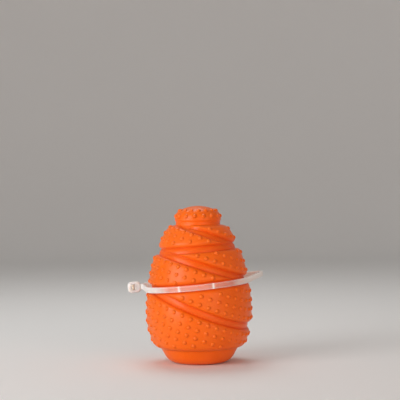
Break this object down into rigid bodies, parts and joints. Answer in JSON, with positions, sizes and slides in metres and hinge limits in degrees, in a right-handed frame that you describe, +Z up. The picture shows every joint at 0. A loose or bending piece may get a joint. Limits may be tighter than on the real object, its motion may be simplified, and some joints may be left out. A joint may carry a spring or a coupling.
{
  "type": "treat-holding dog chew toy",
  "caption": "Beehive-shaped rubber dog chew toy with slanting grooves, gripping nubs, a hollow for treats and a locked nylon cable tie looped round its waist.",
  "frame": {"origin": "centre of the foot's flat resting rim, under the middle of the toy", "axes": "+Z up the toy's axis to its cap, +X to the toy's right as the picture shows it, -Y towards the viewer"},
  "size_m": [0.079, 0.0595, 0.0869],
  "materials": {
    "orange_rubber": "satin",
    "white_nylon": "gloss"
  },
  "bodies": {
    "toy": {"rubber_body": "orange_rubber"},
    "tie": {"cable_tie": "white_nylon"},
    "pawl": {"tie_pawl": "white_nylon"}
  },
  "joints": [
    {"name": "tie_lift_off", "type": "slide", "parent": "toy", "child": "tie", "axis": [0, 0, 1], "range_m": [0, 0.06]},
    {"name": "pawl_flex", "type": "hinge", "parent": "tie", "child": "pawl", "pos_m": [-0.03516, 0.02724, 0.04037], "axis": [-0.0898, 0, 0.996], "range_deg": [0, 6], "stiffness_Nm_per_rad": 0.075}
  ]
}
